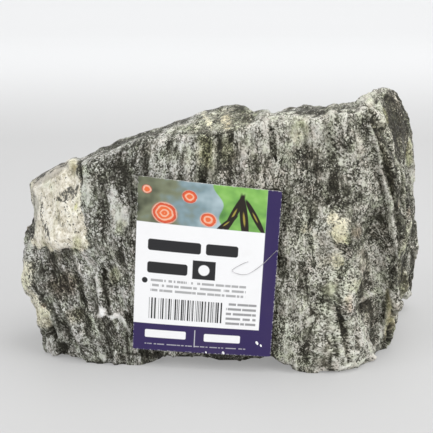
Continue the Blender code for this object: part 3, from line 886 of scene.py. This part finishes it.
def stone_material():
    s = Shading("mica_schist")
    layers = s.attribute("layers")
    across = s.parts(layers)[0]
    pale, dark, light = s.parts(s.attribute("paint_a"))
    olive, rust, brown = s.parts(s.attribute("paint_b"))
    white, speck, relief = s.parts(s.attribute("paint_c"))

    def at(sizes, offset=(0, 0, 0)):
        return s.scaled(layers, sizes, offset)

    # bands of mica and of quartz, from broad to fine
    broad = s.noise(at((9, 40, 34)))
    bands = s.noise(at((3.0, 16, 18), (5, 3, 1)), 3.0, 0.55, 0.3)
    laminae = s.noise(at((0.9, 5, 7), (2, 8, 4)), 2.0, 0.6)
    patches = s.noise(at((2.4, 3.2, 3.6), (7, 7, 2)), 4.0, 0.65)
    broken = s.times(patches, 2.0)
    # The dark mask, painted shade included, adds mica here.
    marks = s.times(s.sum((dark, 0.46), (light, -0.48), (white, -0.75)), broken)
    mica = s.sum((broad, 0.9), (bands, 1.42), (laminae, 0.9), (patches, 0.7), -1.54, marks)
    mica = s.math("MAXIMUM", s.math("MINIMUM", mica, 0.86), s.sum((white, -0.4), 0.02))

    # mineral grains
    fine, glint, fine_edge = s.cells(at((0.38, 0.48, 0.52)))
    coarse, tint, _ = s.cells(at((1.1, 1.5, 1.8), (3, 1, 7)))
    grit = s.noise(at((0.26, 0.36, 0.42), (9, 2, 6)), 1.0)
    grain = s.sum((fine, 0.64), (coarse, 0.2), (grit, 0.8), -0.345)
    # The glintiest grains are lightened in colour: painted glints of mica flakes.
    painted_glint = s.step(glint, 0.88, 0.94)
    calm = s.noise(at((4, 8, 8), (3, 9, 2)))
    contrast = s.sum((calm, 3.0), (light, -0.35), (olive, -0.4), (brown, -0.5), -0.28)
    speckle = s.times(s.sum(grain, -0.53), s.math("MAXIMUM", contrast, 0.3))

    # thin creases, sunken by the bump and darkened in colour as painted shade, and light threads along the
    # layers
    crease = s.thread(at((1.7, 6, 7), (1, 2, 9)), 0.022)
    vein_line = s.thread(at((2.6, 7, 8), (9, 5, 1)), 0.018)
    lines = s.sum((crease, -0.30), (vein_line, 0.26))
    # The relief term lightens raised places and darkens sunken ones: painted light and shade. The painted
    # glints lighten the glintiest grains.
    bright = s.sum((speckle, 1.04), (mica, -0.95), (relief, 0.17), (painted_glint, 0.20))
    schist = s.ramp(s.sum(bright, (across, -0.0003), lines, 0.99), SCHIST)
    quartz = s.step(s.times(white, broken), 0.75, 1.2)
    schist = s.mix(quartz, schist, QUARTZ)

    # pale feldspar
    cloud = s.noise(at((4, 6, 6), (1, 5, 2)), 3.0, 0.6)
    vein = s.noise(at((1.0, 1.3, 1.3), (6, 1, 3)), 3.0, 0.65)
    # The relief term is painted light and shade on the feldspar too.
    feldspar = s.ramp(s.sum((cloud, 0.9), (vein, 1.1), (fine, 0.3), (relief, 0.25), -0.585), FELDSPAR)
    specks = s.times(s.step(speck, 0.12, 0.5), s.step(s.sum((coarse, 0.6), (fine, 0.4)), 0.46, 0.52))
    feldspar = s.mix(s.times(specks, 0.92), feldspar, BLACK_SPECK)
    stray = s.times(s.step(fine, 0.88, 0.92), s.step(coarse, 0.6, 0.7))
    feldspar = s.mix(stray, feldspar, STRAY_SPECK)
    # Where the dark mask is painted shade on the feldspar, this grey is painted shade too.
    feldspar = s.mix(s.times(dark, 0.6), feldspar, GREY_FELDSPAR)
    edge = s.sum((pale, 1.0), (grain, 0.55), (patches, 1.0), (mica, -0.2))
    colour = s.mix(s.step(edge, 0.98, 1.40), schist, feldspar)

    # tints: the rock is cooler towards the pale face and warmer towards the layered end
    place = s.noise(at((10, 18, 16), (4, 4, 9)))
    warm = s.step(s.sum((across, 0.006), (place, 1.2), -0.6), -0.3, 0.3)
    colour = s.mix(warm, colour, WARM_TINT, "MULTIPLY")
    blush = s.noise(at((3.0, 4.0, 4.6), (8, 3, 3)))
    hue = s.ramp(s.sum((blush, 1.4), (tint, 0.3), -0.35), HUES)
    colour = s.mix(s.math("SUBTRACT", 1.0, pale), colour, hue, "MULTIPLY")
    greenish = s.step(s.noise(at((6, 9, 9), (2, 6, 5))), 0.5, 0.7)
    colour = s.mix(greenish, colour, GREEN_TINT, "MULTIPLY")

    # stains
    for stain, stained in ((olive, OLIVE_STAIN), (rust, RUST_STAIN), (brown, BROWN_STAIN)):
        colour = s.mix(s.times(stain, broken), colour, stained, "MULTIPLY")
    s.set("Base Color", colour)

    mirror = s.times(s.step(glint, 0.86, 0.9), s.math("SUBTRACT", 1.0, pale))
    s.set("Roughness", s.sum((mirror, -0.38), (pale, -0.25), (grit, 0.16), 0.62))
    grains = s.sum((fine, 0.5), (grit, 0.7), (coarse, 0.3), (fine_edge, -0.3))
    s.bump(s.sum(grains, (vein, 0.8), (crease, -0.9), (vein_line, 0.4)), 0.34 * MM, 0.7)
    s.shader.inputs["Specular IOR Level"].default_value = 0.35
    return s.material


def make_print_masks(s, x, y):
    """Functions that give the mask of a rectangle and of an ellipse on the card's print."""

    def box(place, corner=0.0):
        left, bottom, right, top = place
        over_x = s.sum(s.math("ABSOLUTE", s.sum(x, -(left + right) / 2)), corner - (right - left) / 2)
        over_y = s.sum(s.math("ABSOLUTE", s.sum(y, -(bottom + top) / 2)), corner - (top - bottom) / 2)
        if not corner:
            return s.step(s.math("MAXIMUM", over_x, over_y), PRINT_SOFT, -PRINT_SOFT)
        away = s.length(s.math("MAXIMUM", over_x, 0.0), s.math("MAXIMUM", over_y, 0.0))
        return s.step(away, corner + PRINT_SOFT, corner - PRINT_SOFT)

    def ellipse(centre_x, centre_y, wide, high, lean=0.0, soft=0.1):
        """The mask, and how far out a place is as a share of the radius."""
        turn = math.radians(lean)
        dx = s.sum(x, -centre_x)
        dy = s.sum(y, -centre_y)
        side = s.sum((dx, math.cos(turn) / wide), (dy, -math.sin(turn) / wide))
        length = s.sum((dx, math.sin(turn) / high), (dy, math.cos(turn) / high))
        away = s.length(side, length)
        return s.step(away, 1 + soft, 1 - soft), away

    return box, ellipse


def picture_print(s, place, x, y, ellipse):
    """A generic picture: ringed red pebbles before grey-blue water, and dark blades before green."""
    blur = s.noise(s.scaled(place, (7, 6, 5)))
    ripple = s.noise(s.scaled(place, (2.4, 1.6, 5), (3, 8, 1)))
    water = s.ramp(s.sum((x, 0.022), (blur, 0.9), -0.25), WATER)
    leaf = s.ramp(s.sum((blur, 1.0), (y, 0.006), -0.3), LEAF)
    shore = s.sum(x, (y, 0.22), (s.math("SINE", s.times(y, 0.55)), 1.2), -40.0)
    picture = s.mix(s.step(shore, -0.3, 0.3), water, leaf)
    for centre_x, centre_y, radius in PEBBLES:
        inside, away = ellipse(centre_x, centre_y, radius, radius * 0.86, 12)
        rings = s.step(s.math("SINE", s.sum((away, radius * 4.2), (ripple, 5.0))), 0.1, 0.7)
        skin = s.mix(s.step(away, 0.5, 1.0), PEBBLE, PEBBLE_RIM)
        skin = s.mix(s.times(rings, 0.6), skin, PEBBLE_RING)
        picture = s.mix(inside, picture, skin)
    for centre_x, centre_y, wide, high, lean in BLADES:
        inside, away = ellipse(centre_x, centre_y, wide, high, lean)
        vein = s.step(away, 0.35, 0.15)
        picture = s.mix(inside, picture, s.mix(vein, BLADE, BLADE_VEIN))
    return picture


def text_lines(s, x, y, place, count, word, gap_share):
    """A mask of plain broken lines where small print stands."""
    left, bottom, right, top = place
    pitch = (top - bottom) / count
    row = s.math("DIVIDE", s.sum(y, -bottom), pitch)
    line = s.step(s.math("ABSOLUTE", s.sum(s.math("FRACT", row), -0.5)), 0.30, 0.18)
    words = s.noise(s.joined(s.math("DIVIDE", x, word), s.times(s.math("FLOOR", row), 7.3)), 1.0)
    return s.times(line, s.step(words, gap_share - 0.02, gap_share + 0.02))


def print_material():
    s = Shading("printed_card")
    place = s.attribute("print")
    x, y, _ = s.parts(place)
    box, ellipse = make_print_masks(s, x, y)
    cloud = s.noise(s.scaled(place, (18, 22, 5)))
    purple = s.mix(s.step(cloud, 0.3, 0.7), PURPLE, FADED_PURPLE)
    colour = s.mix(box(PAPER_WHITE), purple, PAPER)
    colour = s.mix(box(PICTURE), colour, picture_print(s, place, x, y, ellipse))
    for bar in TITLE_BARS:
        colour = s.mix(box(bar, 0.9), colour, INK)
    colour = s.mix(box(TAG), colour, INK)
    for (centre_x, centre_y, radius), ink in ((TAG_DOT, PAPER), (NOTE_DOT, INK)):
        colour = s.mix(ellipse(centre_x, centre_y, radius, radius)[0], colour, ink)
    bars = s.step(s.noise(s.joined(s.math("DIVIDE", x, 0.55)), 1.0), 0.49, 0.52)
    colour = s.mix(s.times(box(STRIPES), bars), colour, INK)
    for bar in FOOT_BARS:
        colour = s.mix(box(bar, 0.5), colour, PAPER)
    colour = s.mix(s.times(box(FOOT_DIVIDER), 0.6), colour, PAPER)
    for lines, count, word, gap_share, strength, ink in SMALL_PRINT:
        small = s.times(box(lines), text_lines(s, x, y, lines, count, word, gap_share))
        colour = s.mix(s.times(small, strength), colour, ink)
    for centre_x, centre_y, radius in SCUFFS:
        torn = s.noise(s.scaled(place, (0.5, 0.4, 1)))
        inside, _ = ellipse(centre_x, centre_y, radius, radius * 0.6, 60, 0.6)
        colour = s.mix(s.step(s.sum(inside, torn), 0.9, 1.1), colour, PAPER)

    from_sides = s.math("MINIMUM", x, s.math("SUBTRACT", CARD_WIDTH, x))
    from_ends = s.math("MINIMUM", y, s.math("SUBTRACT", CARD_HEIGHT, y))
    edge = s.step(s.math("MINIMUM", from_sides, from_ends), 0.35, 0.0)
    wear = s.step(s.noise(s.scaled(place, (1.1, 1.1, 1)), 3.0, 0.6), 0.48, 0.62)
    colour = s.mix(s.times(s.times(edge, wear), 0.6), colour, PAPER)
    grime = s.noise(s.scaled(place, (9, 7, 5), (2, 2, 2)), 4.0, 0.6)
    colour = s.mix(s.times(s.step(grime, 0.5, 0.8), 0.12), colour, GRIME, "MULTIPLY")
    s.set("Base Color", colour)
    fibre = s.noise(s.scaled(place, (0.5, 0.5, 1)), 3.0, 0.6)
    s.set("Roughness", s.sum((grime, 0.2), (fibre, 0.06), (edge, 0.2), 0.2))
    s.bump(s.sum((fibre, 0.3), (grime, 1.0)), 0.05 * MM, 0.5)
    s.shader.inputs["Specular IOR Level"].default_value = 0.35
    return s.material


def paper_material():
    """The card's cut edge and back."""
    s = Shading("card_board")
    place = s.scaled(s.attribute("print"), (0.7, 0.7, 1))
    fibre = s.noise(place, 3.0, 0.65)
    s.set("Base Color", s.ramp(fibre, ((0.3, (0.50, 0.48, 0.43)), (0.7, (0.72, 0.70, 0.65)))))
    s.set("Roughness", s.sum((fibre, 0.1), 0.8))
    s.bump(fibre, 0.06 * MM, 0.5)
    return s.material


def strand_material():
    """Dried glue: clear grey with milky stretches."""
    s = Shading("dried_glue")
    place = s.tree.nodes.new("ShaderNodeTexCoord").outputs["Object"]
    milk = s.noise(s.scaled(place, (0.003, 0.003, 0.003)))
    s.set("Base Color", s.ramp(milk, ((0.35, (0.26, 0.25, 0.25)), (0.65, (0.55, 0.53, 0.55)))))
    s.set("Roughness", s.sum((milk, 0.2), 0.2))
    s.bump(milk, 0.02 * MM, 0.4)
    return s.material


def stage_material():
    """A shooting table of acrylic, faintly lit from below."""
    s = Shading("studio_floor")
    s.shader.inputs["Base Color"].default_value = (0.28, 0.279, 0.277, 1)
    s.shader.inputs["Emission Color"].default_value = (1, 0.998, 0.995, 1)
    s.shader.inputs["Emission Strength"].default_value = 0.265
    s.shader.inputs["Roughness"].default_value = 0.6
    return s.material


# --- The stage and its lights.


def make_stage():
    """A pale sweep: a floor that curves up into a wall."""
    rows = [(SWEEP_FRONT, 0.0), (SWEEP_BEND, 0.0)]
    for i in range(1, SWEEP_STEPS + 1):
        turn = math.pi / 2 * i / SWEEP_STEPS
        rows.append((SWEEP_BEND + SWEEP_RADIUS * math.sin(turn), SWEEP_RADIUS * (1 - math.cos(turn))))
    rows.append((SWEEP_BEND + SWEEP_RADIUS, SWEEP_TOP))
    bm = bmesh.new()
    edges = [[bm.verts.new((x, y, z)) for x in (-SWEEP_SIDE, SWEEP_SIDE)] for y, z in rows]
    for (a, b), (c, d) in zip(edges, edges[1:]):
        face = bm.faces.new((a, b, d, c))
        face.smooth = True
    mesh = bpy.data.meshes.new("studio_sweep")
    bm.to_mesh(mesh)
    bm.free()
    sweep = add("studio_sweep", mesh)
    mesh.materials.append(stage_material())


def area_light(name, place, target, size, power, colour):
    data = bpy.data.lights.new(name, "AREA")
    data.color = colour
    data.shape = "RECTANGLE"
    data.size, data.size_y = size
    data.energy = power
    light = add(name, data)
    light.location = place
    light.rotation_mode = "QUATERNION"
    light.rotation_quaternion = (Vector(target) - Vector(place)).to_track_quat("-Z", "Y")


def make_lights():
    world = bpy.data.worlds.new("studio")
    bpy.context.scene.world = world
    world.use_nodes = True
    background = world.node_tree.nodes["Background"]
    background.inputs["Color"].default_value = (0.97, 0.98, 1.0, 1)
    background.inputs["Strength"].default_value = WORLD_LIGHT
    for name, light in LIGHTS.items():
        area_light(name, *light)
    bpy.context.scene.view_settings.view_transform = "Standard"


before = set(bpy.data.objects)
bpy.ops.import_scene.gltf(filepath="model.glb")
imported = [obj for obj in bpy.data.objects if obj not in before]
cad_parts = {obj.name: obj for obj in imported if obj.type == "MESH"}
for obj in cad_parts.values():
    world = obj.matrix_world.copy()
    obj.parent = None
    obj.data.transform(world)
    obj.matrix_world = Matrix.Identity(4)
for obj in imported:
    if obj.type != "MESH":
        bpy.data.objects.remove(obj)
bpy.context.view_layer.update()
card_low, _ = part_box("label_card")
origin = card_low - Vector(CARD_LOW_CORNER) * MM
make_camera(origin)
stone = make_stone(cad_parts["stone"], origin)
stone.data.materials.clear()
stone.data.materials.append(stone_material())
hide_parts("stone")
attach(stone, "root")

card = make_card(origin)
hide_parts("label_card")
strand = make_strand(origin)
for piece in (card, strand):
    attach(piece, "root")

make_stage()
make_lights()
